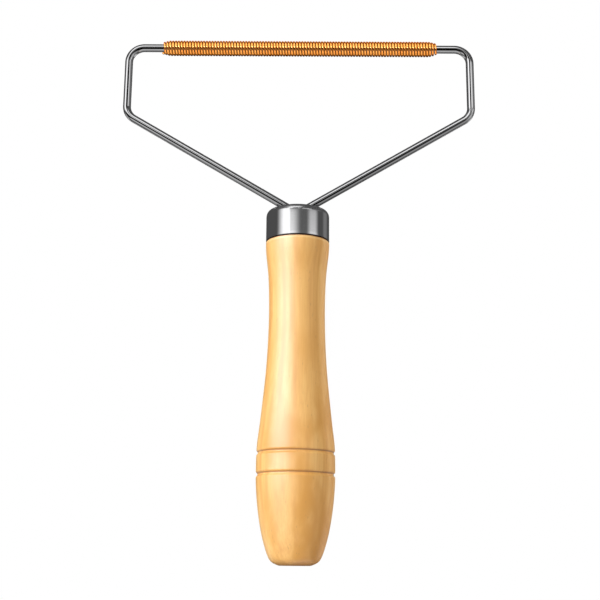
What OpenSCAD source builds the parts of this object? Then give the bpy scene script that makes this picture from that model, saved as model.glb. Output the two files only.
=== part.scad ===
// Coil scraper: a turned wooden handle with a bent wire frame, whose top bar carries a close-wound coil.
// Millimetres. The origin is at the centre of the handle's flat base, +Z runs up the handle's axis,
// +X runs along the coil, and +Y is square to the plane of the frame.

/* [Handle] */
// Diameter at the widest point, between the two grooves
belly_d = 26.1; // [25.1:0.5:28.1]
// Diameter at the narrowest point of the grip
waist_d = 19; // [18:0.2:20]
// Depth of the two turned grooves
groove_depth = 0.55; // [0.3:0.05:0.8]

/* [Ferrule] */
// Outer diameter, flush with the neck of the handle
ferrule_d = 21.8; // [21:0.2:23]
// Thickness of the drawn metal
ferrule_wall = 0.7; // [0.5:0.1:1]

/* [Frame] */
// Distance between the centrelines of the two uprights
frame_w = 122.6; // [100.6:0.4:150.6]
// Height of the coil's axis above the base
bar_z = 181.4; // [173.4:0.5:200.4]

/* [Hidden] */
$fn = 96;
// Gap between neighbouring pieces that touch in the hand.
clearance = 0.02;

// Handle. Its grip ends in a shoulder, and a tenon goes on up into the ferrule.
shoulder_z = 108.3;
base_d = 10.4;
groove_z = [29, 36];
groove_w = 1.4;

// Ferrule.
ferrule_h = 11.05;
ferrule_round = [1.3, 2.1];
slot_l = 8.6;
slot_w = 3.6;

// Bore that the frame's two tangs stand in.
bore_r = 3.3;
bore_floor_z = 77;
countersink_r = 4.4;
countersink_h = 2;

// Wire frame: bar, uprights, sloping arms, and a tang below each arm.
wire_d = 2.8;
bend_r = 5.5;
tang_bend_r = 5;
tang_x = 1.6;
tang_floor_z = 79;
arm_slope = 30.8341;
arm_root_z = shoulder_z + 10.7;

// Coil. It closes down at both ends, where the first joints are nearer the bar.
coil_wire_d = 1;
coil_joint_r = 2.226;
coil_end_joint_r = [1.92, 1.92, 2.0, 2.12];
coil_pitch = 1.0125;
// Length of straight bar left bare beside the coil, both ends together.
coil_bare = 13.3;
coil_half_turns = 2 * floor((frame_w - 2 * bend_r - coil_bare) / coil_pitch);

function thousandth(x) = round(x * 1000) / 1000;

// A slope near the one asked for, whose sine and cosine are both round to six places, so that pieces
// of wire drawn at that slope share their end faces exactly.
function millionth(x) = round(x * 1e6) / 1e6;
function off_circle(s) = abs(s * s + pow(millionth(sqrt(1 - s * s)), 2) - 1);
function round_slope(a) =
    let (near = [for (i = [-100:100]) millionth(sin(a)) + i * 1e-6],
         least = min([for (s = near) off_circle(s)]))
    asin([for (s = near) if (off_circle(s) == least) s][0]);

// Moves its children in a round step and a small remainder, for the same reason.
module place(v) {
    step = [for (c = v) thousandth(c)];
    translate(step) translate(v - step) children();
}

module wire(length, d = wire_d) {
    cylinder(d = d, h = length);
}

// A bend about the Y axis, from +X round towards +Z.
module bend(r, sweep) {
    rotate([90, 0, 0])
        rotate_extrude(angle = sweep)
            place([r, 0])
                circle(d = wire_d);
}

// ---- handle ----

// Outline of the grip, as height and radius.
function grip_points() = let (b = belly_d / 2, w = waist_d / 2, n = ferrule_d / 2) [
    [0, base_d / 2],
    [0.4, base_d / 2 + 1.35],
    [1.3, b - 5.2],
    [2.6, b - 4.4],
    [5.1, b - 3.44],
    [10.2, b - 2.05],
    [17.8, b - 0.77],
    [25.5, b - 0.08],
    [32, b],
    [38.6, b - 0.19],
    [45.2, b - 0.97],
    [57.2, w + 1.32],
    [64, w + 0.72],
    [72, w + 0.26],
    [81.9, w],
    [90, w + 0.1],
    [96, w + 0.37],
    [100.2, w + 0.78],
    [103.4, n - 0.24],
    [106, n - 0.02],
    [shoulder_z, n]
];

function slope_at(p, i) =
    let (a = p[max(i - 1, 0)], b = p[min(i + 1, len(p) - 1)])
    (b[1] - a[1]) / (b[0] - a[0]);

// Cubic curve through the points, with the given number of steps between each pair.
function smooth(p, steps) = [
    for (i = [0 : len(p) - 2])
        for (j = [0 : steps - 1])
            let (t = j / steps, h = p[i + 1][0] - p[i][0])
            [p[i][0] + h * t,
             (2 * pow(t, 3) - 3 * t * t + 1) * p[i][1]
             + (pow(t, 3) - 2 * t * t + t) * h * slope_at(p, i)
             + (3 * t * t - 2 * pow(t, 3)) * p[i + 1][1]
             + (pow(t, 3) - t * t) * h * slope_at(p, i + 1)],
    p[len(p) - 1]
];

module grip_outline() {
    side = [for (q = smooth(grip_points(), 4)) [q[1], q[0]]];
    difference() {
        polygon(concat([[0, 0]], side, [[0, shoulder_z]]));
        for (z = groove_z)
            groove(z);
    }
}

// A round-bottomed groove of the set width and depth.
module groove(z) {
    r = (pow(groove_w / 2, 2) + pow(groove_depth, 2)) / (2 * groove_depth);
    translate([belly_d / 2 - groove_depth + r, z]) circle(r = r);
}

tenon_top_z = shoulder_z + ferrule_h - ferrule_wall - clearance;

module tenon_outline() {
    inside = ferrule_wall + clearance;
    translate([0, shoulder_z - 1])
        capped_outline(ferrule_d / 2 - inside, tenon_top_z - shoulder_z + 1, inside);
}

// Half outline of a round cap of radius r and height h, whose shoulder lies the set depth inside the ferrule's.
module capped_outline(r, h, depth) {
    round = [max(ferrule_round[0] - depth, 0.4), ferrule_round[1] - depth];
    shoulder = [for (a = [0 : 10 : 90]) [r - round[0] * (1 - cos(a)), h - round[1] * (1 - sin(a))]];
    polygon(concat([[0, 0], [r, 0]], shoulder, [[0, h]]));
}

module handle() {
    color("burlywood") difference() {
        rotate_extrude() {
            grip_outline();
            tenon_outline();
        }
        translate([0, 0, bore_floor_z]) cylinder(r = bore_r, h = shoulder_z + ferrule_h - bore_floor_z);
        translate([0, 0, tenon_top_z - countersink_h])
            cylinder(r1 = bore_r, r2 = countersink_r, h = countersink_h);
    }
}

// ---- ferrule ----

module ferrule() {
    r = ferrule_d / 2;
    color("silver") translate([0, 0, shoulder_z + clearance]) difference() {
        rotate_extrude() difference() {
            capped_outline(r, ferrule_h, 0);
            translate([0, -1])
                capped_outline(r - ferrule_wall, ferrule_h - ferrule_wall + 1, ferrule_wall);
        }
        translate([0, 0, ferrule_h / 2]) slot(ferrule_h);
    }
}

module slot(h) {
    x = (slot_l - slot_w) / 2;
    translate([-x, -slot_w / 2, 0]) cube([2 * x, slot_w, h]);
    for (side = [-1, 1])
        translate([side * x, 0, 0]) cylinder(d = slot_w, h = h);
}

// ---- wire frame ----

arm_bend = 90 - arm_slope;
arm_dir = [cos(arm_slope), 0, sin(arm_slope)];
corner_x = frame_w / 2 - bend_r;
corner_z = bar_z - bend_r;
elbow_z = arm_root_z + frame_w / 2 * tan(arm_slope) + bend_r * tan(arm_bend / 2);
upright_l = thousandth(corner_z - elbow_z);
arm_l = thousandth((frame_w / 2 - tang_x) / cos(arm_slope) - (bend_r + tang_bend_r) * tan(arm_bend / 2));

module wire_frame() {
    color("gainsboro") {
        translate([-corner_x, 0, bar_z]) rotate([0, 90, 0]) wire(2 * corner_x);
        frame_side();
        mirror([1, 0, 0]) frame_side();
    }
}

module frame_side() {
    elbow = [corner_x, 0, corner_z - upright_l];
    arm_top = elbow + bend_r * [sin(arm_slope), 0, -cos(arm_slope)];
    arm_foot = arm_top - arm_l * arm_dir;
    knee = arm_foot + tang_bend_r * [sin(arm_slope), 0, -cos(arm_slope)];
    place([corner_x, 0, corner_z]) bend(bend_r, 90);
    place([frame_w / 2, 0, elbow[2]]) wire(upright_l);
    place(elbow) mirror([0, 0, 1]) bend(bend_r, arm_bend);
    place(arm_foot) rotate([0, arm_bend, 0]) wire(arm_l);
    place(knee) mirror([1, 0, 0]) bend(tang_bend_r, arm_bend);
    place(knee - [tang_bend_r, 0, 0]) mirror([0, 0, 1]) wire(thousandth(knee[2] - tang_floor_z));
}

// ---- coil ----

function joint_r(k) =
    let (from_end = min(k, coil_half_turns - k))
    from_end < len(coil_end_joint_r) ? coil_end_joint_r[from_end] : coil_joint_r;
function half_turn_slope(k) = round_slope(atan2(coil_pitch / 2, joint_r(k) + joint_r(k + 1)));
function half_turn_rise(k) = (joint_r(k) + joint_r(k + 1)) * tan(half_turn_slope(k));

// Half of a turn, from joint k at height h to the joint across the coil. Its circle tips about the Y axis
// by its slope, so that it meets its neighbours squarely at both joints.
module half_turn(k, h) {
    side = k % 2 == 0 ? 1 : -1;
    slope = half_turn_slope(k);
    r = (joint_r(k) + joint_r(k + 1)) / 2;
    place([side * (joint_r(k) - r), 0, h + r * tan(slope)])
        rotate([0, 0, side > 0 ? 0 : 180])
            rotate([0, slope, 0])
                rotate_extrude(angle = 180)
                    place([r / cos(slope), 0])
                        circle(d = coil_wire_d);
}

module coil() {
    rises = [for (k = [0 : coil_half_turns - 1]) half_turn_rise(k)];
    heights = [for (k = 0, h = 0; k < coil_half_turns; h = h + rises[k], k = k + 1) h];
    length = heights[coil_half_turns - 1] + rises[coil_half_turns - 1];
    color("darkgoldenrod") translate([0, 0, bar_z]) rotate([0, 90, 0])
        for (k = [0 : coil_half_turns - 1])
            half_turn(k, heights[k] - length / 2);
}

// ---- adhesive ----

module adhesive() {
    top = tenon_top_z - countersink_h;
    color("khaki") difference() {
        translate([0, 0, bore_floor_z + clearance])
            cylinder(r = bore_r - clearance, h = top - bore_floor_z - clearance);
        for (side = [-1, 1])
            translate([side * tang_x, 0, tang_floor_z - clearance])
                cylinder(r = wire_d / 2 + clearance, h = top);
    }
}

handle();
ferrule();
wire_frame();
coil();
adhesive();
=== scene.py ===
"""Coil scraper: a turned wooden handle, a plated ferrule, a bent wire frame and a close-wound coil.

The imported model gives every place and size. Each shown piece is a finer mesh of the same shape, with
materials made from nodes. Lengths are in millimetres until MM is applied, apart from the lamps', which are
in metres. Scales of noise are per metre.
"""
import math
from collections import namedtuple

import bpy
import numpy as np
from mathutils import Matrix, Vector

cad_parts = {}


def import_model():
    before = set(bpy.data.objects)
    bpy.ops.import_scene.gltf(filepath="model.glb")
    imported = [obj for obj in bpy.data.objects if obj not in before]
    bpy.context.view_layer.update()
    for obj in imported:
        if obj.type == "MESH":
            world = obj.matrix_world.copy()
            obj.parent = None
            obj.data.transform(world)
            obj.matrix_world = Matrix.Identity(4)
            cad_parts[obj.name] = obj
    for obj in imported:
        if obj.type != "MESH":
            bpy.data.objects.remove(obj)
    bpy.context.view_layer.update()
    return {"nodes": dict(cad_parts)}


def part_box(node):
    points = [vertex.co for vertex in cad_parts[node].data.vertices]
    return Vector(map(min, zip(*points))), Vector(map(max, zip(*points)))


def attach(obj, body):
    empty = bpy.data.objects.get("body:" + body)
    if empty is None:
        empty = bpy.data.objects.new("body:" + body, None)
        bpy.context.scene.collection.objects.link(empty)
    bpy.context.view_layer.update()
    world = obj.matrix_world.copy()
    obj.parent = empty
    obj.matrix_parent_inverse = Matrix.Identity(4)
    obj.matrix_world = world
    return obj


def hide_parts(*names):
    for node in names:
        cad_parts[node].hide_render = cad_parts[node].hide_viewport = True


MM = 0.001
SEED = 7

# ---------------------------------------------------------------- sizes

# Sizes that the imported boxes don't give.
CLEARANCE = 0.02
SHOULDER_Z = 108.3
GROOVE_Z = (29.0, 36.0)
BORE_R = 3.3
BORE_FLOOR_Z = 77.0
COUNTERSINK_R = 4.4
COUNTERSINK_H = 2.0
FERRULE_WALL = 0.7
FERRULE_ROUND = (1.3, 2.1)
SLOT_LENGTH = 8.6
SLOT_WIDTH = 3.6
WIRE_R = 1.4
BEND_R = 5.5
TANG_BEND_R = 5.0
TANG_X = 1.6
ARM_SLOPE = math.radians(30.8341)
ARM_ROOT_ABOVE_SHOULDER = 10.7
COIL_WIRE_R = 0.5
COIL_TURNS = 97

# How far from the grooves the handle's outline keeps its sharper corners, and how widely corners are
# softened near the grooves and away from them.
GROOVE_MARGIN = 3.0
GROOVE_SOFTENING = 0.14
OUTLINE_SOFTENING = 0.5

# Corners that the finer meshes ease.
HANDLE_FOOT_CHAMFER = 0.25
HANDLE_TOP_ROUND = 0.3
FERRULE_FOOT_ROUND = 0.3
SLOT_LIP = 0.18
WIRE_END_CHAMFER = 0.25
COIL_END_CHAMFER = 0.08

# How fine the meshes are.
HANDLE_SIDES = 192
FERRULE_SIDES = 288
WIRE_SIDES = 48
COIL_SIDES = 14
COIL_STEPS_PER_TURN = 44
WIRE_STEP = 2.0
PROFILE_STEP = 0.05
# Spacing of the handle's rings near the grooves, round the foot and up the rest of the grip, how high the
# foot counts, and the gaps left to the chamfer below and the rounded corner above.
GROOVE_RINGS = 0.1
FOOT_RINGS = 0.2
GRIP_RINGS = 0.7
FOOT_HEIGHT = 6.0
GAP_BELOW_RINGS = 0.06
GAP_ABOVE_RINGS = 0.4

# Over how many turns the coil's ends close down on the bar and thin out, the share of the wire's thickness
# that is left there, and how far a turn strays from its place.
COIL_CLOSING = 3
COIL_THINNING = 2.5
COIL_END_THICKNESS = 0.80
COIL_STRAY_R = 0.008
COIL_STRAY_X = 0.006

# ---------------------------------------------------------------- finishes

WOOD_PALE = (0.93, 0.585, 0.192)
WOOD_MID = (0.89, 0.508, 0.142)
WOOD_DARK = (0.75, 0.365, 0.083)
WOOD_FIBRE = (0.75, 0.365, 0.082)
WOOD_WARM = (0.74, 0.355, 0.060)
WOOD_FLECK = (0.38, 0.17, 0.055)
# Partly a scorch line and partly painted shade on each groove's upper wall.
WOOD_SCORCH_AND_SHADE = (0.40, 0.155, 0.03)
# A painted highlight on the rounded lip under the ferrule.
WOOD_LIP_HIGHLIGHT = (0.96, 0.66, 0.28)
# Painted shade in the joint under the ferrule.
WOOD_JOINT_SHADE = (0.25, 0.10, 0.03)
# Noise in the wood, coarser along the grain than across it.
GRAIN_SWAY = (30, 30, 9)
GRAIN_BANDS = (330, 520, 7)
GRAIN_FIBRES = (2600, 2600, 60)
GRAIN_MOTTLE = (95, 95, 48)
GRAIN_FLECKS = (1500, 1500, 330)
GRAIN_FLECK_AREAS = (420, 420, 120)
# The warm mottling is stronger round the belly than in the grip, and changes between these heights.
BELLY_FIGURE = 1.0
GRIP_FIGURE = 0.45
FIGURE_CHANGES = (38.0, 60.0)
# How far the colours laid over the base one cover it.
FIBRE_SHARE = 0.45
FLECK_SHARE = 0.38
LIP_HIGHLIGHT_SHARE = 0.5
SCORCH_AND_SHADE_SHARE = 0.82
# Bands on the wood: painted shade in the joint under the ferrule, a painted highlight on the lip below it,
# and grooves darkened on their upper walls, partly by scorching and partly by painted shade. Each is given
# as its lower and upper heights and its soft edge.
WOOD_JOINT_SHADE_BAND = (SHOULDER_Z - 0.27, SHOULDER_Z + 1.0, 0.06)
LIP_HIGHLIGHT_BAND = (SHOULDER_Z - 1.0, SHOULDER_Z - 0.4, 0.15)
SCORCH_AND_SHADE_BAND = (0.10, 0.50, 0.07)
LACQUER_IOR = 1.7

STEEL = (0.80, 0.80, 0.81)
STEEL_SMEARED = tuple(0.86 * c for c in STEEL)
# Painted shade along the ferrule's foot, where it meets the wood.
STEEL_FOOT_SHADE = (0.05, 0.036, 0.03)
STEEL_SCUFFS = (1900, 1900, 700)
# Each steel's tint at its edges, its roughness and the scale of its fine lines.
PLATE_EDGE = 0.9
PLATE_ROUGHNESS = 0.065
PLATE_LINES = (260.0, 260.0, 3200.0)
WIRE_EDGE = 0.4
WIRE_ROUGHNESS = 0.06
WIRE_LINES = (1600.0, 1600.0, 1600.0)
# On the ferrule, as heights above its foot: where painted shade lies along its joint with the wood and its
# soft edge, and where the metal turns duller.
FERRULE_FOOT_SHADE = (-0.1, 0.34)
FOOT_SHADE_EDGE = 0.08
FERRULE_DULL = (8.7, 9.8)
# What scuffs, dullness and the painted foot shade add to the roughness.
SCUFF_ROUGHNESS = 0.12
DULL_ROUGHNESS = 0.16
FOOT_SHADE_ROUGHNESS = 0.4

COPPER_GOLD = (0.95, 0.415, 0.105)
COPPER_RED = (0.93, 0.355, 0.075)
COPPER_BROWN = (0.80, 0.29, 0.06)
# Painted shade for the gaps between turns.
COPPER_GAP_SHADE = (0.58, 0.19, 0.022)
COPPER_EDGE = (1.0, 0.38, 0.06)
BROWN_SHARE = 0.25
GAP_SHADE_SHARE = 0.6
# How far round a point its neighbours cast the painted gap shade, in metres.
GAP_SHADE_REACH = 0.0006
COPPER_TONE = (520, 160, 160)
COPPER_LINES = (9000, 1500, 1500)

RESIN_DARK = (0.42, 0.28, 0.12)
RESIN_PALE = (0.60, 0.44, 0.22)

# ---------------------------------------------------------------- studio

# What the metal sees round it, as soft-edged panels. The left and right sides are azimuths in degrees, 0 on
# the camera's side and 90 at the right, and low and high are elevations. An edge is half the width over
# which the panel fades.
Panel = namedtuple("Panel", "level left left_edge right right_edge low high up_edge")
PANELS = (
    Panel(1.25, -65, 18, -29, 5, 9, 30, 6),
    Panel(1.05, -30, 5, -4, 20, 9, 19, 4),
    Panel(1.10, -38, 9, 14, 6, 28, 51, 5),
    Panel(0.28, -68, 10, 20, 10, 52, 60, 6),
    Panel(0.80, -2, 5, 52, 8, 21.5, 26.5, 2),
    Panel(0.12, 56, 8, 96, 8, 21.5, 26.5, 2),
    Panel(0.05, 10, 6, 40, 8, 9, 19, 4),
    Panel(0.70, 41, 10, 74, 10, 8, 19, 4),
    Panel(0.12, 108, 8, 134, 8, 4, 24, 6),
    Panel(0.40, 38, 8, 84, 8, -16, 6, 6),
    Panel(0.22, 40, 8, 84, 8, -48, -16, 6),
    Panel(0.48, -70, 9, -40, 9, -48, -21, 7),
    Panel(0.25, -132, 10, -76, 10, -60, -42, 6),
    Panel(0.75, 108, 8, 146, 8, -26, -4, 5),
    Panel(0.60, -148, 8, -112, 8, -26, -4, 5),
    Panel(0.45, -100, 6, -82, 6, -26, -4, 5),
)
# Dark screens. Their level is the share of the light that they hold back.
SCREENS = (
    Panel(0.97, -74, 6, 28, 6, -18, 2, 5),
    Panel(0.97, -20, 6, 32, 6, -50, 2, 6),
)
DIM_ROOM = 0.085
# Below the panels the metal sees ground, pale at the sides and in front, and dimmer behind.
GROUND_STARTS = (-60.0, -48.0)
PALE_GROUND = 0.52
DIM_GROUND = 0.25
GROUND_DIMS = (90.0, 150.0)

# Azimuth and elevation in degrees, distance, width and height in metres, power in watts.
Lamp = namedtuple("Lamp", "azimuth elevation distance width height power tint")
LAMP_TARGET = Vector((0.0, 0.0, 0.09))
# Soft lamps, which light every piece and which no piece reflects.
SOFT_LAMPS = {
    "key": Lamp(-50, 16, 1.6, 0.9, 0.9, 6.2, (0.93, 1.0, 1.14)),
    "fill": Lamp(-4, 12, 1.8, 1.4, 1.0, 5.8, (1.0, 0.84, 0.63)),
    "rim_right": Lamp(127, 18, 1.5, 0.6, 0.9, 19.0, (1.0, 0.90, 0.76)),
    "rim_left": Lamp(-118, 15, 1.5, 0.6, 0.9, 6.0, (1.0, 0.97, 0.92)),
    "top": Lamp(-20, 74, 1.6, 1.2, 1.2, 4.0, (1.0, 0.95, 0.88)),
}
# Lamps for one piece alone, which that piece does reflect.
WOOD_LAMPS = {
    "wood_sheen": Lamp(-50, 17, 1.6, 1.7, 0.75, 23.5, (0.95, 0.965, 1.12)),
    "wood_low": Lamp(-48, -22, 1.6, 1.6, 1.0, 2.6, (0.60, 1.0, 1.50)),
    "wood_under": Lamp(100, -72, 1.6, 1.3, 1.30, 6.5, (1.0, 0.95, 0.88)),
}
COIL_LAMPS = {
    "coil_front": Lamp(0, 39, 1.0, 3.2, 1.60, 20.5, (1.0, 0.99, 0.97)),
    "coil_below": Lamp(0, -84, 1.0, 2.6, 1.50, 13.8, (1.0, 0.84, 0.68)),
    "coil_back": Lamp(180, 55, 1.0, 2.4, 0.80, 3.2, (1.0, 1.0, 1.0)),
    "coil_spark": Lamp(0, 9, 1.0, 0.55, 0.24, 3.0, (0.92, 1.10, 1.50)),
}
# These two stand for the glow that neighbouring turns throw on each other, so nothing shades them.
COIL_GLOW_LAMPS = {
    "coil_left": Lamp(-100, 20, 1.0, 1.6, 1.60, 4.0, (1.0, 0.58, 0.26)),
    "coil_right": Lamp(100, 20, 1.0, 1.6, 1.60, 4.0, (1.0, 0.58, 0.26)),
}

WHITE = (1.0, 1.0, 1.0)
BLACK = (0.0, 0.0, 0.0)

# A black card that stands above the camera: half its width, its lower and upper edges, and its place.
CARD_HALF_WIDTH = 113.0
CARD_LOW = 262.0
CARD_HIGH = 354.0
CARD_Y = -350.0

# The floor, its two shades, the light it adds for the camera, and the share of light it throws back.
FLOOR_HALF_WIDTH = 6000.0
FLOOR_Z = -0.3
FLOOR_GREY = (0.84, 0.84, 0.835)
FLOOR_PALE = (0.88, 0.88, 0.875)
FLOOR_LIFT = 0.42
FLOOR_BOUNCE = 0.62
# It turns white between these distances in metres, and where it is seen at a skimming angle.
FLOOR_FADE = (0.3, 1.0)
FLOOR_SKIMMED = (0.86, 0.97)

# The camera stands low in front, about level with the foot of the handle, and looks up. Its angles are in
# degrees, and its lens and sensor in millimetres.
CAMERA_AT = (3.575, -360.0, 1.77)
CAMERA_YAW = -0.41
CAMERA_PITCH = 13.49
CAMERA_ROLL = 0.48
CAMERA_LENS = 65.0983
CAMERA_SENSOR = 36.0


# ---------------------------------------------------------------- mesh helpers

def mesh_object(name, points, faces, smooth=True):
    mesh = bpy.data.meshes.new(name)
    mesh.from_pydata([Vector(p) * MM for p in points], [], faces)
    mesh.validate()
    if smooth:
        mesh.polygons.foreach_set("use_smooth", [True] * len(mesh.polygons))
    mesh.update()
    obj = bpy.data.objects.new(name, mesh)
    bpy.context.scene.collection.objects.link(obj)
    return obj


def loops_mesh(name, loops, closed_path=False):
    """A skin over a run of equal loops of points. The end loops get a cap, or join to each other."""
    n = len(loops[0])
    points = [p for loop in loops for p in loop]
    faces = []
    rows = len(loops)
    for i in range(rows if closed_path else rows - 1):
        a = i * n
        b = (i + 1) % rows * n
        for j in range(n):
            k = (j + 1) % n
            faces.append((a + j, a + k, b + k, b + j))
    if not closed_path:
        for row, flip in ((0, True), (rows - 1, False)):
            centre = len(points)
            points.append(tuple(np.mean(loops[row], axis=0)))
            for j in range(n):
                k = (j + 1) % n
                edge = (row * n + k, row * n + j) if flip else (row * n + j, row * n + k)
                faces.append(edge + (centre,))
    return mesh_object(name, points, faces)


def ring(r, z, count):
    return [(r * math.cos(2 * math.pi * j / count), r * math.sin(2 * math.pi * j / count), z)
            for j in range(count)]


def arc(centre, r, start, end, steps):
    """Points (radius, height) round an arc, angles in degrees; r may be one number or two."""
    rx, rz = r if isinstance(r, tuple) else (r, r)
    return [(centre[0] + rx * math.cos(math.radians(start + (end - start) * i / steps)),
             centre[1] + rz * math.sin(math.radians(start + (end - start) * i / steps)))
            for i in range(steps + 1)]


def ease(t):
    t = min(max(t, 0.0), 1.0)
    return t * t * (3 - 2 * t)


def tube(name, path, radii, sides, chamfer):
    """A round wire along a path of points in space, with its cut ends eased."""
    path = np.array(path)
    radii = np.broadcast_to(radii, len(path))
    tangents = np.gradient(path, axis=0)
    tangents /= np.linalg.norm(tangents, axis=1)[:, None]
    side = np.cross(tangents[0], (0.0, 1.0, 0.0))
    if np.linalg.norm(side) < 0.1:
        side = np.cross(tangents[0], (1.0, 0.0, 0.0))
    side /= np.linalg.norm(side)
    loops = []
    last = len(path) - 1
    for i, (p, t, r) in enumerate(zip(path, tangents, radii)):
        side = side - t * side.dot(t)
        side /= np.linalg.norm(side)
        other = np.cross(t, side)
        wheel = [side * math.cos(2 * math.pi * j / sides) + other * math.sin(2 * math.pi * j / sides)
                 for j in range(sides)]
        if i == 0:
            loops.append([tuple(p + w * (r - chamfer)) for w in wheel])
            loops.append([tuple(p + t * chamfer + w * r) for w in wheel])
        elif i == last:
            loops.append([tuple(p - t * chamfer + w * r) for w in wheel])
            loops.append([tuple(p + w * (r - chamfer)) for w in wheel])
        else:
            loops.append([tuple(p + w * r) for w in wheel])
    return loops_mesh(name, loops)


# ---------------------------------------------------------------- handle

def grip_profile(node):
    """Radius against height up the outside of the handle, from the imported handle's own rings.

    Points nearer the axis than the countersink belong to the bore.
    """
    rings = {}
    for v in node.data.vertices:
        z = round(v.co.z / MM, 3)
        r = math.hypot(v.co.x, v.co.y) / MM
        if r > COUNTERSINK_R + 0.1:
            rings[z] = max(rings.get(z, 0.0), r)
    heights = sorted(rings)
    return np.array(heights), np.array([rings[z] for z in heights])


def soften(heights, radii, reach):
    """Rounds every corner of the profile over about the given reach."""
    step = heights[1] - heights[0]
    k = int(3 * reach / step)
    kernel = np.exp(-0.5 * (np.arange(-k, k + 1) * step / reach) ** 2)
    kernel /= kernel.sum()
    padded = np.concatenate([2 * radii[0] - radii[k:0:-1], radii, 2 * radii[-1] - radii[-2:-k - 2:-1]])
    return np.convolve(padded, kernel, mode="valid")


def ring_spacing(z, near_groove):
    if near_groove:
        return GROOVE_RINGS
    return FOOT_RINGS if z < FOOT_HEIGHT else GRIP_RINGS


def build_handle(node, tenon_r, tenon_top):
    """The grip's softened outline from the foot up, then the tenon, and the bore down inside."""
    z_raw, r_raw = grip_profile(node)
    # The rings at the shoulder and above it aren't part of the grip.
    keep = z_raw < SHOULDER_Z - 0.01
    heights = np.arange(0.0, SHOULDER_Z + PROFILE_STEP / 2, PROFILE_STEP)
    radii = np.interp(heights, z_raw[keep], r_raw[keep])
    grooved = (heights > GROOVE_Z[0] - GROOVE_MARGIN) & (heights < GROOVE_Z[1] + GROOVE_MARGIN)
    radii = np.where(grooved, soften(heights, radii, GROOVE_SOFTENING),
                     soften(heights, radii, OUTLINE_SOFTENING))
    top_r = radii[-1]
    profile = [(radii[0] - HANDLE_FOOT_CHAMFER, 0.0)]
    last = -1.0
    for z, r, near_groove in zip(heights, radii, grooved):
        clear = GAP_BELOW_RINGS < z < SHOULDER_Z - GAP_ABOVE_RINGS
        if clear and z - last >= ring_spacing(z, near_groove):
            profile.append((r, z))
            last = z
    profile += arc((top_r - HANDLE_TOP_ROUND, SHOULDER_Z - HANDLE_TOP_ROUND), HANDLE_TOP_ROUND, 0, 90, 6)
    profile += [(tenon_r, SHOULDER_Z)]
    round_r = (FERRULE_ROUND[0] - FERRULE_WALL, FERRULE_ROUND[1] - FERRULE_WALL)
    profile += arc((tenon_r - round_r[0], tenon_top - round_r[1]), round_r, 0, 90, 6)
    profile += [(COUNTERSINK_R, tenon_top), (BORE_R, tenon_top - COUNTERSINK_H), (BORE_R, BORE_FLOOR_Z)]
    return loops_mesh("handle_wood", [ring(r, z, HANDLE_SIDES) for r, z in profile])


# ---------------------------------------------------------------- ferrule

def slot_radius(angle):
    """Distance from the axis to the slot's edge in this direction."""
    half = SLOT_WIDTH / 2
    reach = (SLOT_LENGTH - SLOT_WIDTH) / 2
    c = abs(math.cos(angle))
    s = abs(math.sin(angle))
    if s * reach >= half * c:
        return half / s
    return reach * c + math.sqrt(max(half * half - reach * reach * s * s, 0.0))


def slot_loop(outset, z, blend=0.0, r=0.0):
    """The slot's outline, pushed out, and blended some of the way to a circle."""
    loop = []
    for j in range(FERRULE_SIDES):
        a = 2 * math.pi * j / FERRULE_SIDES
        d = (slot_radius(a) + outset) * (1 - blend) + r * blend
        loop.append((d * math.cos(a), d * math.sin(a), z))
    return loop


def build_ferrule(r, foot_z, top_z):
    """A cap of even wall: up the outside, over the top to the slot, and back down the inside."""
    def round_loops(profile):
        return [ring(q, z, FERRULE_SIDES) for q, z in profile]

    rx, rz = FERRULE_ROUND
    inner_rx = rx - FERRULE_WALL
    inner_rz = rz - FERRULE_WALL
    inner_r = r - FERRULE_WALL
    inner_top = top_z - FERRULE_WALL
    side_z = foot_z + FERRULE_FOOT_ROUND
    side_height = top_z - rz - foot_z - FERRULE_FOOT_ROUND
    loops = round_loops(arc((r - FERRULE_FOOT_ROUND, side_z), FERRULE_FOOT_ROUND, -90, 0, 7))
    loops += round_loops([(r, side_z + side_height * i / 8) for i in range(1, 8)])
    loops += round_loops(arc((r - rx, top_z - rz), (rx, rz), 0, 90, 28))
    loops += [slot_loop(SLOT_LIP, top_z, 1 - i / 9, r - rx) for i in range(1, 9)]
    for i in range(6):
        t = math.pi / 2 * i / 5
        loops.append(slot_loop(SLOT_LIP * (1 - math.sin(t)), top_z - SLOT_LIP * (1 - math.cos(t))))
    loops += [slot_loop(0.0, inner_top, i / 6, inner_r - inner_rx) for i in range(6)]
    loops += round_loops(arc((inner_r - inner_rx, inner_top - inner_rz), (inner_rx, inner_rz), 90, 0, 10))
    loops += round_loops([(inner_r, foot_z)])
    return loops_mesh("ferrule_cap", loops, closed_path=True)


# ---------------------------------------------------------------- wire frame

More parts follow.
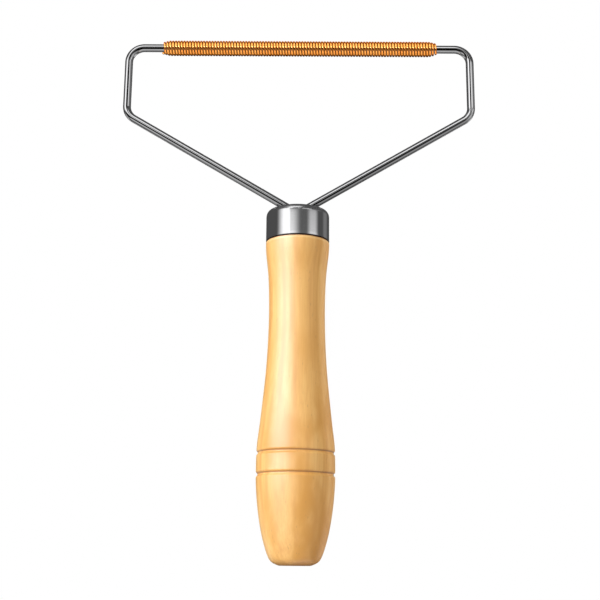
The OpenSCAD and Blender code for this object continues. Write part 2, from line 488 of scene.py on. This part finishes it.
def frame_path(half_width, bar_z, tang_floor):
    """Centreline of the wire in the XZ plane, from one tang round to the other."""
    a = ARM_SLOPE
    bend = math.pi / 2 - a
    root_z = SHOULDER_Z + ARM_ROOT_ABOVE_SHOULDER
    elbow = np.array([half_width - BEND_R,
                      root_z + half_width * math.tan(a) + BEND_R * math.tan(bend / 2)])
    normal = np.array([math.sin(a), -math.cos(a)])
    arm_dir = np.array([math.cos(a), math.sin(a)])
    arm_length = (half_width - TANG_X) / math.cos(a) - (BEND_R + TANG_BEND_R) * math.tan(bend / 2)
    arm_top = elbow + BEND_R * normal
    arm_foot = arm_top - arm_length * arm_dir
    knee = arm_foot + TANG_BEND_R * normal
    side = []

    def line(p, q):
        steps = max(2, int(np.linalg.norm(np.subtract(q, p)) / WIRE_STEP))
        side.extend(tuple(np.array(p) + (np.array(q) - p) * i / steps) for i in range(steps))

    def turn(centre, r, start, end, steps):
        side.extend((centre[0] + r * math.cos(start + (end - start) * i / steps),
                     centre[1] + r * math.sin(start + (end - start) * i / steps)) for i in range(steps))

    line((knee[0] - TANG_BEND_R, tang_floor), (knee[0] - TANG_BEND_R, knee[1]))
    turn(knee, TANG_BEND_R, math.pi, math.pi - bend, 24)
    line(arm_foot, arm_top)
    turn(elbow, BEND_R, -bend, 0.0, 28)
    line((half_width, elbow[1]), (half_width, bar_z - BEND_R))
    turn((half_width - BEND_R, bar_z - BEND_R), BEND_R, 0.0, math.pi / 2, 40)
    line((half_width - BEND_R, bar_z), (0.0, bar_z))
    left = [(-x, z) for x, z in side]
    return side + [(0.0, bar_z)] + left[::-1]


def build_wire_frame():
    low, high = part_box("wire_frame")
    half_width = high.x / MM - WIRE_R
    path = [(x, 0.0, z) for x, z in frame_path(half_width, high.z / MM - WIRE_R, low.z / MM)]
    return tube("frame_wire", path, WIRE_R, WIRE_SIDES, WIRE_END_CHAMFER)


# ---------------------------------------------------------------- coil

def build_coil():
    """A true helix. Its last turns close down on the bar and thin out, and no two turns are quite alike."""
    low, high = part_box("coil")
    axis_z = (low.z + high.z) / 2 / MM
    full_r = (high.y - low.y) / 2 / MM - COIL_WIRE_R
    length = (high.x - low.x) / MM - 2 * COIL_WIRE_R
    steps = COIL_TURNS * COIL_STEPS_PER_TURN
    turns_at = np.arange(steps + 1) / COIL_STEPS_PER_TURN
    knots = np.arange(COIL_TURNS + 1)
    rng = np.random.default_rng(SEED)
    stray_r = np.interp(turns_at, knots, rng.normal(0.0, COIL_STRAY_R, len(knots)))
    stray_x = np.interp(turns_at, knots, rng.normal(0.0, COIL_STRAY_X, len(knots)))
    path = []
    wire_radii = []
    for i in range(steps + 1):
        turns = i / COIL_STEPS_PER_TURN
        from_end = min(turns, COIL_TURNS - turns)
        thickness = COIL_END_THICKNESS + (1 - COIL_END_THICKNESS) * ease(from_end / COIL_THINNING)
        wire_r = COIL_WIRE_R * thickness
        close_r = WIRE_R + wire_r + CLEARANCE
        free = ease(from_end / COIL_CLOSING)
        r = close_r + (full_r - close_r) * free + stray_r[i] * free
        angle = 2 * math.pi * turns
        x = -length / 2 + length * turns / COIL_TURNS + stray_x[i] * free
        path.append((x, r * math.sin(angle), axis_z - r * math.cos(angle)))
        wire_radii.append(wire_r)
    return tube("coil_wire", path, wire_radii, COIL_SIDES, COIL_END_CHAMFER)


# ---------------------------------------------------------------- node helpers

class Nodes:
    """Short names for the few shader nodes that the materials are made of."""

    def __init__(self, tree):
        self.tree = tree
        tree.nodes.clear()

    def new(self, kind, **inputs):
        node = self.tree.nodes.new(kind)
        for key, value in inputs.items():
            self.put(node, key.replace("_", " "), value)
        return node

    def put(self, node, key, value):
        socket = node.inputs[key]
        if isinstance(value, bpy.types.NodeSocket):
            self.tree.links.new(value, socket)
        else:
            socket.default_value = value

    def math(self, operation, a, b=0.0):
        node = self.tree.nodes.new("ShaderNodeMath")
        node.operation = operation
        self.put(node, 0, a)
        self.put(node, 1, b)
        return node.outputs[0]

    def smooth(self, value, start, end, low=0.0, high=1.0):
        """Smooth step of value from start to end, mapped to low and high."""
        node = self.tree.nodes.new("ShaderNodeMapRange")
        node.interpolation_type = "SMOOTHSTEP"
        self.put(node, "Value", value)
        self.put(node, "From Min", start)
        self.put(node, "From Max", end)
        self.put(node, "To Min", low)
        self.put(node, "To Max", high)
        return node.outputs["Result"]

    def window(self, value, start, end, start_edge, end_edge):
        """1 between start and end, falling to 0 across the edge width on each side."""
        rise = self.smooth(value, start - start_edge, start + start_edge)
        fall = self.smooth(value, end - end_edge, end + end_edge, 1.0, 0.0)
        return self.math("MULTIPLY", rise, fall)

    def band(self, height, low, high, edge):
        """1 between two heights in millimetres, with a soft edge."""
        return self.window(height, low * MM, high * MM, edge * MM, edge * MM)

    def mapped(self, vector, scale):
        node = self.new("ShaderNodeMapping", Vector=vector, Scale=scale)
        return node.outputs["Vector"]

    def noise(self, vector, scale, detail, roughness=0.5, distortion=0.0):
        node = self.new("ShaderNodeTexNoise", Vector=vector, Scale=scale, Detail=detail,
                        Roughness=roughness, Distortion=distortion)
        return node.outputs["Fac"]

    def grain(self, vector, scale, detail, roughness=0.5, distortion=0.0):
        """Noise with its own scale along each axis."""
        return self.noise(self.mapped(vector, scale), 1.0, detail, roughness, distortion)

    def ramp(self, value, stops):
        node = self.new("ShaderNodeValToRGB", Fac=value)
        elements = node.color_ramp.elements
        for element, (position, shade) in zip(elements, (stops[0], stops[-1])):
            element.position = position
            element.color = colour(shade)
        for position, shade in stops[1:-1]:
            elements.new(position).color = colour(shade)
        return node.outputs["Color"]

    def mix(self, fac, a, b):
        node = self.tree.nodes.new("ShaderNodeMix")
        node.data_type = "RGBA"
        self.put(node, 0, fac)
        self.put(node, 6, a if isinstance(a, bpy.types.NodeSocket) else colour(a))
        self.put(node, 7, b if isinstance(b, bpy.types.NodeSocket) else colour(b))
        return node.outputs[2]

    def bump(self, height, strength, distance):
        node = self.new("ShaderNodeBump", Height=height, Strength=strength, Distance=distance)
        return node.outputs["Normal"]

    def height(self, place):
        return self.new("ShaderNodeSeparateXYZ", Vector=place).outputs["Z"]

    def camera_ray(self):
        return self.new("ShaderNodeLightPath").outputs["Is Camera Ray"]


def colour(c):
    """An RGBA value from one grey level or three channels."""
    if isinstance(c, (int, float)):
        return (c, c, c, 1.0)
    return tuple(c) + (1.0,)


def new_material(name):
    """A bare material, its node helper, and where a point lies on its object."""
    material = bpy.data.materials.new(name)
    material.use_nodes = True
    n = Nodes(material.node_tree)
    place = n.new("ShaderNodeTexCoord").outputs["Object"]
    return material, n, place


def principled(n):
    shader = n.new("ShaderNodeBsdfPrincipled")
    n.new("ShaderNodeOutputMaterial", Surface=shader.outputs["BSDF"])
    return shader


# ---------------------------------------------------------------- materials

def wood_material():
    """Pale turned hardwood under satin lacquer: soft growth bands, fine fibres, short flecks."""
    material, n, place = new_material("pale_wood")
    shader = principled(n)
    sway = n.math("SUBTRACT", n.grain(place, GRAIN_SWAY, 2.0), 0.5)
    shift = n.new("ShaderNodeCombineXYZ", X=n.math("MULTIPLY", sway, 0.006),
                  Y=n.math("MULTIPLY", sway, 0.004))
    swayed = n.new("ShaderNodeVectorMath")
    swayed.operation = "ADD"
    n.put(swayed, 0, place)
    n.put(swayed, 1, shift.outputs[0])
    grain_at = swayed.outputs[0]

    bands = n.grain(grain_at, GRAIN_BANDS, 2.0, 0.55)
    fibres = n.grain(grain_at, GRAIN_FIBRES, 3.0, 0.6)
    mottle = n.grain(place, GRAIN_MOTTLE, 3.0)
    fleck = n.new("ShaderNodeTexVoronoi", Vector=n.mapped(place, GRAIN_FLECKS), Scale=1.0)
    fleck_at = n.smooth(fleck.outputs["Distance"], 0.10, 0.24, 1.0, 0.0)
    fleck_where = n.smooth(n.grain(place, GRAIN_FLECK_AREAS, 1.0), 0.5, 0.62)
    flecks = n.math("MULTIPLY", fleck_at, fleck_where)

    height = n.height(place)
    figure = n.smooth(height, FIGURE_CHANGES[0] * MM, FIGURE_CHANGES[1] * MM, BELLY_FIGURE, GRIP_FIGURE)
    base = n.ramp(bands, [(0.25, WOOD_DARK), (0.5, WOOD_MID), (0.78, WOOD_PALE)])
    base = n.mix(n.smooth(fibres, 0.35, 0.75, 0.0, FIBRE_SHARE), base, WOOD_FIBRE)
    base = n.mix(n.math("MULTIPLY", n.smooth(mottle, 0.44, 0.66), figure), base, WOOD_WARM)
    base = n.mix(n.math("MULTIPLY", flecks, FLECK_SHARE), base, WOOD_FLECK)
    # Painted highlight on the lip under the ferrule.
    base = n.mix(n.math("MULTIPLY", n.band(height, *LIP_HIGHLIGHT_BAND), LIP_HIGHLIGHT_SHARE), base, WOOD_LIP_HIGHLIGHT)
    # Painted shade in the joint under the ferrule.
    base = n.mix(n.band(height, *WOOD_JOINT_SHADE_BAND), base, WOOD_JOINT_SHADE)
    # Each groove's upper wall: partly scorch, partly painted shade.
    scorch_shade_low, scorch_shade_high, scorch_shade_edge = SCORCH_AND_SHADE_BAND
    for z in GROOVE_Z:
        scorch_shade = n.band(height, z + scorch_shade_low, z + scorch_shade_high, scorch_shade_edge)
        base = n.mix(n.math("MULTIPLY", scorch_shade, SCORCH_AND_SHADE_SHARE), base, WOOD_SCORCH_AND_SHADE)

    n.put(shader, "Base Color", base)
    n.put(shader, "Roughness", n.smooth(fibres, 0.2, 0.8, 0.40, 0.52))
    n.put(shader, "Coat Weight", 1.0)
    n.put(shader, "Coat Roughness", n.smooth(mottle, 0.2, 0.8, 0.40, 0.50))
    n.put(shader, "Coat IOR", LACQUER_IOR)
    relief = n.math("ADD", n.math("MULTIPLY", fibres, 0.7), n.math("MULTIPLY", flecks, -0.6))
    n.put(shader, "Normal", n.bump(relief, 0.35, 0.00005))
    n.put(shader, "Coat Normal", n.bump(n.math("ADD", relief, mottle), 0.12, 0.00006))
    return material


def steel_material(name, edge, roughness, line_scale, foot_z=None):
    """Bright plated or drawn steel: fine lines, faint smears, a few scuffs.

    A ferrule is given its foot's height, where painted shade lies. Its metal is duller towards the top.
    """
    material, n, place = new_material(name)
    shader = principled(n)
    lines = n.grain(place, line_scale, 3.0, 0.6)
    smear = n.noise(place, 260.0, 3.0, 0.55)
    scuffs = n.smooth(n.grain(place, STEEL_SCUFFS, 2.0, 0.5, 1.5), 0.66, 0.74)
    metal = n.mix(n.smooth(smear, 0.3, 0.7, 0.0, 0.25), STEEL, STEEL_SMEARED)
    rough = n.smooth(smear, 0.3, 0.75, roughness * 0.75, roughness * 1.35)
    rough = n.math("ADD", rough, n.math("MULTIPLY", scuffs, SCUFF_ROUGHNESS))
    if foot_z is not None:
        height = n.height(place)
        dull_from, dull_to = [(foot_z + h) * MM for h in FERRULE_DULL]
        rough = n.math("ADD", rough, n.smooth(height, dull_from, dull_to, 0.0, DULL_ROUGHNESS))
        # Painted shade along the foot, where the ferrule meets the wood; the metal is rougher there too.
        foot_shade = n.band(height, foot_z + FERRULE_FOOT_SHADE[0], foot_z + FERRULE_FOOT_SHADE[1], FOOT_SHADE_EDGE)
        metal = n.mix(foot_shade, metal, STEEL_FOOT_SHADE)
        rough = n.math("ADD", rough, n.math("MULTIPLY", foot_shade, FOOT_SHADE_ROUGHNESS))
    n.put(shader, "Base Color", metal)
    n.put(shader, "Metallic", 1.0)
    n.put(shader, "Specular Tint", colour(edge))
    n.put(shader, "Roughness", rough)
    n.put(shader, "Normal", n.bump(lines, 0.10, 0.00002))
    return material


def coil_material():
    """Golden copper-coloured wire, polished, with painted shade down in the gaps between turns."""
    material, n, place = new_material("copper_wire")
    shader = principled(n)
    tone = n.grain(place, COPPER_TONE, 2.0)
    patches = n.noise(place, 90.0, 2.0)
    lines = n.grain(place, COPPER_LINES, 2.0)
    # Painted shade in the gaps between turns, from how closely neighbouring turns hem each point in.
    occlusion = n.new("ShaderNodeAmbientOcclusion", Distance=GAP_SHADE_REACH)
    occlusion.samples = 8
    gap_shade = n.smooth(occlusion.outputs["AO"], 0.25, 0.8, 1.0, 0.0)
    metal = n.mix(n.smooth(tone, 0.3, 0.7), COPPER_GOLD, COPPER_RED)
    metal = n.mix(n.smooth(patches, 0.42, 0.7, 0.0, BROWN_SHARE), metal, COPPER_BROWN)
    metal = n.mix(n.math("MULTIPLY", gap_shade, GAP_SHADE_SHARE), metal, COPPER_GAP_SHADE)
    n.put(shader, "Base Color", metal)
    n.put(shader, "Metallic", 1.0)
    n.put(shader, "Specular Tint", colour(COPPER_EDGE))
    n.put(shader, "Roughness", n.smooth(tone, 0.2, 0.8, 0.14, 0.22))
    n.put(shader, "Normal", n.bump(lines, 0.12, 0.00002))
    return material


def resin_material():
    """Cured adhesive: amber, slightly clouded."""
    material, n, place = new_material("resin")
    shader = principled(n)
    cloud = n.noise(place, 700.0, 3.0)
    n.put(shader, "Base Color", n.mix(cloud, RESIN_DARK, RESIN_PALE))
    n.put(shader, "Roughness", n.smooth(cloud, 0.2, 0.8, 0.2, 0.4))
    n.put(shader, "Normal", n.bump(cloud, 0.3, 0.0001))
    return material


def black_card_material():
    material, n, _ = new_material("black_card")
    black = n.new("ShaderNodeBsdfDiffuse", Color=colour(BLACK))
    n.new("ShaderNodeOutputMaterial", Surface=black.outputs[0])
    return material


def floor_material():
    """Pale and faintly speckled, lifted a little for the camera, and plain white away from the object."""
    material, n, place = new_material("pale_floor")
    distance = n.new("ShaderNodeVectorMath")
    distance.operation = "LENGTH"
    n.put(distance, 0, place)
    far = n.smooth(distance.outputs["Value"], *FLOOR_FADE)
    facing = n.new("ShaderNodeLayerWeight", Blend=0.5).outputs["Facing"]
    fade = n.math("MAXIMUM", far, n.smooth(facing, *FLOOR_SKIMMED))
    seen = n.camera_ray()

    speckle = n.noise(place, 900.0, 2.0)
    matte = n.new("ShaderNodeBsdfDiffuse", Color=n.mix(speckle, FLOOR_GREY, FLOOR_PALE))
    lift = n.new("ShaderNodeEmission", Color=colour(WHITE), Strength=FLOOR_LIFT)
    lifted = n.new("ShaderNodeAddShader")
    n.put(lifted, 0, matte.outputs[0])
    n.put(lifted, 1, lift.outputs[0])
    bounce = n.new("ShaderNodeBsdfDiffuse", Color=colour(FLOOR_BOUNCE))
    near = n.new("ShaderNodeMixShader", Fac=seen)
    n.put(near, 1, bounce.outputs[0])
    n.put(near, 2, lifted.outputs[0])
    glow = n.new("ShaderNodeEmission", Color=colour(WHITE), Strength=1.0)
    shade = n.new("ShaderNodeMixShader", Fac=n.math("MULTIPLY", fade, seen))
    n.put(shade, 1, near.outputs[0])
    n.put(shade, 2, glow.outputs[0])
    n.new("ShaderNodeOutputMaterial", Surface=shade.outputs[0])
    return material


# ---------------------------------------------------------------- studio builders

def studio_light():
    """The camera sees plain white. Everything else sees a studio of soft panels and dark screens."""
    world = bpy.data.worlds.new("studio")
    bpy.context.scene.world = world
    world.use_nodes = True
    n = Nodes(world.node_tree)
    direction = n.new("ShaderNodeSeparateXYZ", Vector=n.new("ShaderNodeTexCoord").outputs["Generated"])
    x, y, z = direction.outputs
    degrees = 180 / math.pi
    across = n.math("MULTIPLY", n.math("ARCTAN2", x, n.math("MULTIPLY", y, -1.0)), degrees)
    up = n.math("MULTIPLY", n.math("ARCSINE", z), degrees)

    def spot(p):
        beside = n.window(across, p.left, p.right, p.left_edge, p.right_edge)
        above = n.window(up, p.low, p.high, p.up_edge, p.up_edge)
        return n.math("MULTIPLY", n.math("MULTIPLY", beside, above), p.level)

    light = DIM_ROOM
    for panel in PANELS:
        light = n.math("ADD", light, spot(panel))
    for screen in SCREENS:
        light = n.math("MULTIPLY", light, n.math("SUBTRACT", 1.0, spot(screen)))
    ground = n.smooth(up, *GROUND_STARTS, 1.0, 0.0)
    ground_level = n.smooth(n.math("ABSOLUTE", across), *GROUND_DIMS, PALE_GROUND, DIM_GROUND)
    light = n.math("ADD", n.math("MULTIPLY", light, n.math("SUBTRACT", 1.0, ground)),
                   n.math("MULTIPLY", ground, ground_level))

    studio = n.new("ShaderNodeBackground", Color=light, Strength=1.0)
    white = n.new("ShaderNodeBackground", Color=colour(WHITE), Strength=1.0)
    both = n.new("ShaderNodeMixShader", Fac=n.camera_ray())
    n.put(both, 1, studio.outputs[0])
    n.put(both, 2, white.outputs[0])
    n.new("ShaderNodeOutputWorld", Surface=both.outputs[0])


def add_lamp(name, spec):
    data = bpy.data.lights.new(name, "AREA")
    data.shape = "RECTANGLE"
    data.size = spec.width
    data.size_y = spec.height
    data.energy = spec.power
    data.color = spec.tint
    a = math.radians(spec.azimuth)
    e = math.radians(spec.elevation)
    toward = Vector((math.sin(a) * math.cos(e), -math.cos(a) * math.cos(e), math.sin(e)))
    lamp = bpy.data.objects.new(name, data)
    lamp.location = LAMP_TARGET + toward * spec.distance
    lamp.rotation_euler = (-toward).to_track_quat("-Z", "Y").to_euler()
    lamp.visible_camera = False
    bpy.context.scene.collection.objects.link(lamp)
    return lamp


def add_soft_lamps():
    for name, spec in SOFT_LAMPS.items():
        add_lamp(name, spec).visible_glossy = False


def add_piece_lamps(lamps, piece, blockers, shaded=True):
    """Lamps that light one piece, and whose shadows only the blockers cast."""
    for name, spec in lamps.items():
        lamp = add_lamp(name, spec)
        lit = bpy.data.collections.new(name)
        lit.objects.link(piece)
        lamp.light_linking.receiver_collection = lit
        lamp.light_linking.blocker_collection = blockers
        lamp.data.use_shadow = shaded


def build_flag():
    """A black card above the camera. Only reflections see it, as the dark line down each upright."""
    corners = [(-CARD_HALF_WIDTH, CARD_Y, CARD_LOW), (CARD_HALF_WIDTH, CARD_Y, CARD_LOW),
               (CARD_HALF_WIDTH, CARD_Y, CARD_HIGH), (-CARD_HALF_WIDTH, CARD_Y, CARD_HIGH)]
    flag = mesh_object("flag", corners, [(0, 1, 2, 3)], smooth=False)
    flag.visible_camera = False
    flag.visible_diffuse = False
    flag.visible_shadow = False
    flag.data.materials.append(black_card_material())


def build_floor():
    """A plain pale floor that fades to white away from the object."""
    half = FLOOR_HALF_WIDTH
    corners = [(-half, -half, FLOOR_Z), (half, -half, FLOOR_Z),
               (half, half, FLOOR_Z), (-half, half, FLOOR_Z)]
    floor = mesh_object("floor", corners, [(0, 1, 2, 3)], smooth=False)
    floor.visible_glossy = False
    floor.data.materials.append(floor_material())


def build_camera():
    yaw = math.radians(CAMERA_YAW)
    pitch = math.radians(CAMERA_PITCH)
    roll = math.radians(CAMERA_ROLL)
    forward = Vector((math.sin(yaw) * math.cos(pitch), math.cos(yaw) * math.cos(pitch), math.sin(pitch)))
    level = Vector((math.cos(yaw), -math.sin(yaw), 0.0))
    upright = level.cross(forward)
    right = math.cos(roll) * level + math.sin(roll) * upright
    up = -math.sin(roll) * level + math.cos(roll) * upright
    data = bpy.data.cameras.new("camera")
    data.sensor_width = CAMERA_SENSOR
    data.lens = CAMERA_LENS
    data.clip_start = 0.01
    camera = bpy.data.objects.new("camera", data)
    turned = Matrix((right, up, -forward)).transposed().to_4x4()
    camera.matrix_world = Matrix.Translation(Vector(CAMERA_AT) * MM) @ turned
    bpy.context.scene.collection.objects.link(camera)
    bpy.context.scene.camera = camera


# ---------------------------------------------------------------- scene

def main():
    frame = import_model()

    ferrule_low, ferrule_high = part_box("ferrule")
    foot_z = ferrule_low.z / MM
    ferrule_r = ferrule_high.x / MM
    tenon_r = ferrule_r - FERRULE_WALL - CLEARANCE
    tenon_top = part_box("handle")[1].z / MM

    handle = build_handle(frame["nodes"]["handle"], tenon_r, tenon_top)
    ferrule = build_ferrule(ferrule_r, foot_z, ferrule_high.z / MM)
    wire = build_wire_frame()
    coil = build_coil()

    plate = steel_material("bright_plate", PLATE_EDGE, PLATE_ROUGHNESS, PLATE_LINES, foot_z)
    drawn = steel_material("drawn_wire", WIRE_EDGE, WIRE_ROUGHNESS, WIRE_LINES)
    for obj, node, slot, material in (
            (handle, "handle", "wood", wood_material()),
            (ferrule, "ferrule", "ferrule_steel", plate),
            (wire, "wire_frame", "wire_steel", drawn),
            (coil, "coil", "coil_wire", coil_material())):
        obj.data.materials.append(material)
        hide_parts(node)
        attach(obj, "root")
    adhesive = frame["nodes"]["adhesive"]
    adhesive.data.materials.clear()
    adhesive.data.materials.append(resin_material())

    # The other pieces don't reflect the coil, whose bright turns would show as loose orange dots in them.
    coil.visible_glossy = False
    blockers = bpy.data.collections.new("casts_shadow")
    for piece in (handle, ferrule, wire, coil):
        blockers.objects.link(piece)
    add_soft_lamps()
    add_piece_lamps(WOOD_LAMPS, handle, blockers)
    add_piece_lamps(COIL_LAMPS, coil, blockers)
    add_piece_lamps(COIL_GLOW_LAMPS, coil, blockers, shaded=False)

    build_floor()
    build_flag()
    studio_light()
    build_camera()
    bpy.context.scene.view_settings.view_transform = "Standard"
    bpy.context.scene.view_settings.look = "None"


main()
